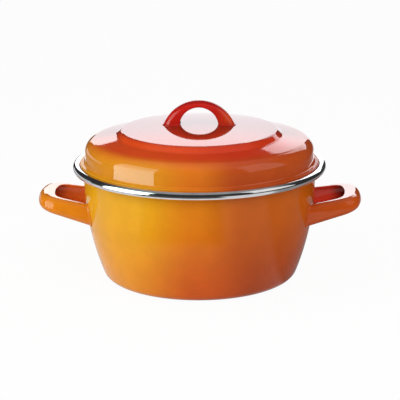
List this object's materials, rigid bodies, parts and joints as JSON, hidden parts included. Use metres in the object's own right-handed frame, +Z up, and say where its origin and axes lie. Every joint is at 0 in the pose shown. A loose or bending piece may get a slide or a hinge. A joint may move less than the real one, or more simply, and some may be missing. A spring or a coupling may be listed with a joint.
{
  "type": "enamelled steel casserole",
  "caption": "Round enamelled steel casserole with a rolled steel rim, a bow handle on each side and a lift-off stepped lid with a bow handle on top.",
  "frame": {"origin": "centre of the base, on the surface that the pot stands on", "axes": "+Z up along the axis of the pot and lid, +X out through the right-hand side handle, -Y towards the front"},
  "size_m": [0.3382, 0.2638, 0.1864],
  "materials": {
    "pot_enamel": "glossy vitreous enamel, yellow at the left fading to brown-orange at the right",
    "lid_enamel": "glossy vitreous enamel, red on top fading to yellow-orange on the skirt",
    "lid_handle_enamel": "glossy red vitreous enamel",
    "rim_steel": "polished stainless steel"
  },
  "bodies": {
    "pot": {"pot_body": "pot_enamel", "rim_ring": "rim_steel", "left_handle": "pot_enamel", "right_handle": "pot_enamel"},
    "lid": {"lid_shell": "lid_enamel", "lid_handle": "lid_handle_enamel"}
  },
  "joints": [
    {"name": "lid_lift", "type": "slide", "parent": "pot", "child": "lid", "axis": [0, 0, 1], "range_m": [0, 0.15]}
  ]
}
